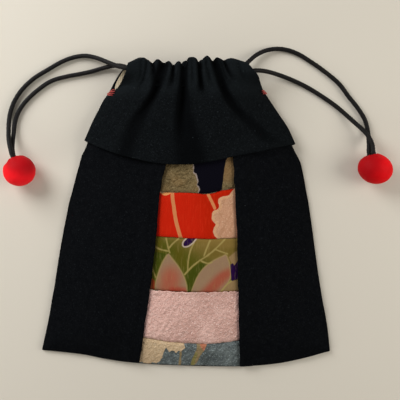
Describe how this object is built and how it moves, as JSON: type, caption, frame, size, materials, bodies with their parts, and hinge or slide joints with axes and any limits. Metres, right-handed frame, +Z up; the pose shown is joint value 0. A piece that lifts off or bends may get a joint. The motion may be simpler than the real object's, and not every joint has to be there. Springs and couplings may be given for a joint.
{
  "type": "drawstring pouch",
  "caption": "Flat cloth drawstring pouch with black side panels, a patchwork crepe centre strip, a gathered mouth on two cords, and a red cloth ball at each cord's end.",
  "frame": {"origin": "on the table, under the centre of the pouch's own length and width, with the cords and balls left out", "axes": "+Z up from the table through the pouch's front, +Y from the bottom seam to the gathered mouth, +X to the right looking down on the front"},
  "size_m": [0.2476, 0.2064, 0.0201],
  "materials": {
    "black_cloth": "matte crepe, faintly blue black",
    "khaki_crepe": "matte crepe with a dark field",
    "red_crepe": "matte crepe with cream figures",
    "green_crepe": "matte crepe with leaf and petal figures",
    "pink_crepe": "matte, coarsely puckered crepe",
    "blue_crepe": "matte crepe with cream figures",
    "cream_lining": "plain matte cotton",
    "black_cord": "braided, slight sheen",
    "red_cloth": "matte",
    "red_thread": "matte thread"
  },
  "bodies": {
    "root": {"front_left_panel": "black_cloth", "front_right_panel": "black_cloth", "patch_khaki": "khaki_crepe", "patch_red": "red_crepe", "patch_green": "green_crepe", "patch_pink": "pink_crepe", "patch_blue": "blue_crepe", "front_yoke": "black_cloth", "back_panel": "black_cloth", "back_yoke": "black_cloth", "front_lining": "cream_lining", "back_lining": "cream_lining", "left_drawstring": "black_cord", "right_drawstring": "black_cord", "left_ball": "red_cloth", "right_ball": "red_cloth", "left_bar_tack": "red_thread", "right_bar_tack": "red_thread"}
  },
  "joints": []
}
